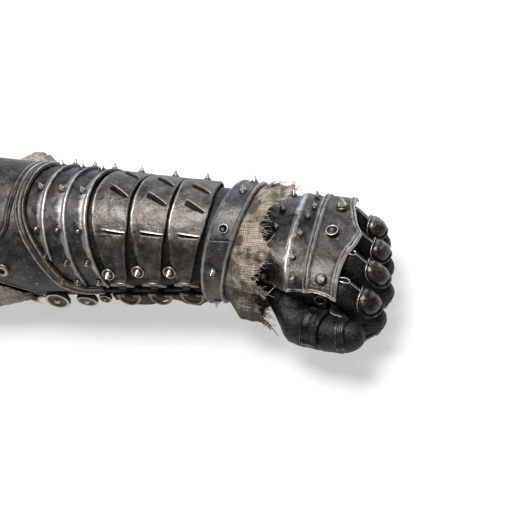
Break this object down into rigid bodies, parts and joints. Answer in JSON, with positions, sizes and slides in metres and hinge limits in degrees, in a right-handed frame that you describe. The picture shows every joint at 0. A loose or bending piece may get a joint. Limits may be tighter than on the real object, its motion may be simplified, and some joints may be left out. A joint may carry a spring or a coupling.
{
  "type": "gauntlet",
  "caption": "Left-hand leather gauntlet with shingled steel plates, burlap lining, lacing rings and a jointed glove in a loose fist.",
  "frame": {"origin": "centre of the rear opening of the leather sleeve", "axes": "+X from the rear opening along the forearm towards the fist, +Z out of the back of the hand, -Y towards the thumb side"},
  "size_m": [0.3226, 0.1328, 0.1084],
  "materials": {
    "dark_plate": "satin",
    "brown_plate": "satin",
    "bright_steel": "satin",
    "hand_steel": "satin",
    "ring_iron": "satin",
    "black_leather": "satin",
    "brown_leather": "matte",
    "burlap": "matte"
  },
  "bodies": {
    "vambrace": {"sleeve": "black_leather", "tongue": "brown_leather", "burlap_lining": "burlap", "under_plate": "dark_plate", "elbow_plate": "dark_plate", "border_band": "brown_plate", "lame_1": "dark_plate", "lame_2": "dark_plate", "lame_3": "dark_plate", "lame_spikes": "bright_steel", "scale_plate_1": "brown_plate", "scale_plate_2": "brown_plate", "scale_plate_3": "brown_plate", "plate_louvres": "bright_steel", "closure_studs": "bright_steel", "ridge_spikes": "bright_steel", "cuff_upper": "dark_plate", "cuff_lower": "dark_plate", "cuff_spikes": "bright_steel", "closure_bosses": "brown_plate", "closure_flap": "brown_leather", "ring_clips": "brown_leather", "burlap_ruff": "burlap", "wrist_gusset": "black_leather"},
    "hand": {"glove_hand": "black_leather", "wrist_lame": "hand_steel", "middle_lame": "hand_steel", "hand_plate": "hand_steel", "hand_spikes": "bright_steel", "glove_boss": "hand_steel"},
    "index_first": {"index_base": "black_leather", "index_cap": "hand_steel"},
    "index_second": {"index_middle": "black_leather", "index_plate": "hand_steel"},
    "index_end": {"index_tip": "black_leather"},
    "middle_first": {"middle_base": "black_leather", "middle_cap": "hand_steel"},
    "middle_second": {"middle_middle": "black_leather", "middle_plate": "hand_steel"},
    "middle_end": {"middle_tip": "black_leather"},
    "ring_first": {"ring_base": "black_leather", "ring_cap": "hand_steel"},
    "ring_second": {"ring_middle": "black_leather", "ring_plate": "hand_steel"},
    "ring_end": {"ring_tip": "black_leather"},
    "little_first": {"little_base": "black_leather", "little_cap": "hand_steel"},
    "little_second": {"little_middle": "black_leather", "little_plate": "hand_steel"},
    "little_end": {"little_tip": "black_leather"},
    "thumb_first": {"thumb_base": "black_leather", "thumb_plate": "hand_steel"},
    "thumb_end": {"thumb_tip": "black_leather", "thumb_tip_plate": "hand_steel"},
    "lacing_ring_1": {"d_ring_1": "ring_iron"},
    "lacing_ring_2": {"d_ring_2": "ring_iron"},
    "lacing_ring_3": {"d_ring_3": "ring_iron"},
    "lacing_ring_4": {"d_ring_4": "ring_iron"},
    "lacing_ring_5": {"d_ring_5": "ring_iron"},
    "lacing_ring_6": {"d_ring_6": "ring_iron"}
  },
  "joints": [
    {"name": "wrist_bend", "type": "hinge", "parent": "vambrace", "child": "hand", "pos_m": [0.226, 0, 0], "axis": [0, 1, 0], "range_deg": [-15, 10], "deforming": ["wrist_gusset"]},
    {"name": "index_knuckle", "type": "hinge", "parent": "hand", "child": "index_first", "pos_m": [0.2925, -0.0384, -0.00253], "axis": [0, 0.9781, -0.2079], "range_deg": [-40, 0]},
    {"name": "index_bend", "type": "hinge", "parent": "index_first", "child": "index_second", "pos_m": [0.31063, -0.04289, -0.02366], "axis": [0, 0.9781, -0.2079], "range_deg": [-90, 0]},
    {"name": "index_tip_bend", "type": "hinge", "parent": "index_second", "child": "index_end", "pos_m": [0.29097, -0.04575, -0.03712], "axis": [0, 0.9781, -0.2079], "range_deg": [-41, 0.2]},
    {"name": "middle_knuckle", "type": "hinge", "parent": "hand", "child": "middle_first", "pos_m": [0.293, -0.0168, 0.00126], "axis": [0, 0.9781, -0.2079], "range_deg": [-40, 0]},
    {"name": "middle_bend", "type": "hinge", "parent": "middle_first", "child": "middle_second", "pos_m": [0.31228, -0.02158, -0.02122], "axis": [0, 0.9781, -0.2079], "range_deg": [-90, 0]},
    {"name": "middle_tip_bend", "type": "hinge", "parent": "middle_second", "child": "middle_end", "pos_m": [0.29262, -0.02444, -0.03468], "axis": [0, 0.9781, -0.2079], "range_deg": [-41, 0.2]},
    {"name": "ring_knuckle", "type": "hinge", "parent": "hand", "child": "ring_first", "pos_m": [0.2895, 0.0048, 0.00086], "axis": [0, 0.9781, -0.2079], "range_deg": [-40, 0]},
    {"name": "ring_bend", "type": "hinge", "parent": "ring_first", "child": "ring_second", "pos_m": [0.3084, 0.00012, -0.02116], "axis": [0, 0.9781, -0.2079], "range_deg": [-90, 0]},
    {"name": "ring_tip_bend", "type": "hinge", "parent": "ring_second", "child": "ring_end", "pos_m": [0.28874, -0.00275, -0.03463], "axis": [0, 0.9781, -0.2079], "range_deg": [-41, 0.2]},
    {"name": "little_knuckle", "type": "hinge", "parent": "hand", "child": "little_first", "pos_m": [0.284, 0.0264, -0.00293], "axis": [0, 0.9781, -0.2079], "range_deg": [-40, 0]},
    {"name": "little_bend", "type": "hinge", "parent": "little_first", "child": "little_second", "pos_m": [0.30135, 0.0221, -0.02316], "axis": [0, 0.9781, -0.2079], "range_deg": [-90, 0]},
    {"name": "little_tip_bend", "type": "hinge", "parent": "little_second", "child": "little_end", "pos_m": [0.2817, 0.01924, -0.03663], "axis": [0, 0.9781, -0.2079], "range_deg": [-41, 0.2]},
    {"name": "thumb_swing", "type": "hinge", "parent": "hand", "child": "thumb_first", "pos_m": [0.272, -0.0565, -0.02], "axis": [0, 0, 1], "range_deg": [-35, 0]},
    {"name": "thumb_bend", "type": "hinge", "parent": "thumb_first", "child": "thumb_end", "pos_m": [0.29513, -0.06401, -0.01701], "axis": [0.0887, 0.9957, -0.0274], "range_deg": [-10, 40]},
    {"name": "ring_swing_1", "type": "hinge", "parent": "vambrace", "child": "lacing_ring_1", "pos_m": [0.1354, -0.04443, -0.00039], "axis": [1, 0, 0], "range_deg": [-5, 95]},
    {"name": "ring_swing_2", "type": "hinge", "parent": "vambrace", "child": "lacing_ring_2", "pos_m": [0.1589, -0.04285, -0.00037], "axis": [1, 0, 0], "range_deg": [-5, 95]},
    {"name": "ring_swing_3", "type": "hinge", "parent": "vambrace", "child": "lacing_ring_3", "pos_m": [0.1824, -0.04128, -0.00036], "axis": [1, 0, 0], "range_deg": [-5, 95]},
    {"name": "ring_swing_4", "type": "hinge", "parent": "vambrace", "child": "lacing_ring_4", "pos_m": [0.1354, -0.04175, -0.0152], "axis": [1, 0, 0], "range_deg": [-95, 5]},
    {"name": "ring_swing_5", "type": "hinge", "parent": "vambrace", "child": "lacing_ring_5", "pos_m": [0.1589, -0.04027, -0.01466], "axis": [1, 0, 0], "range_deg": [-95, 5]},
    {"name": "ring_swing_6", "type": "hinge", "parent": "vambrace", "child": "lacing_ring_6", "pos_m": [0.1824, -0.03879, -0.01412], "axis": [1, 0, 0], "range_deg": [-95, 5]}
  ],
  "couplings": [
    {"joint": "index_tip_bend", "follows": "index_bend", "ratio": 0.42105},
    {"joint": "middle_tip_bend", "follows": "middle_bend", "ratio": 0.42105},
    {"joint": "ring_tip_bend", "follows": "ring_bend", "ratio": 0.42105},
    {"joint": "little_tip_bend", "follows": "little_bend", "ratio": 0.42105}
  ]
}
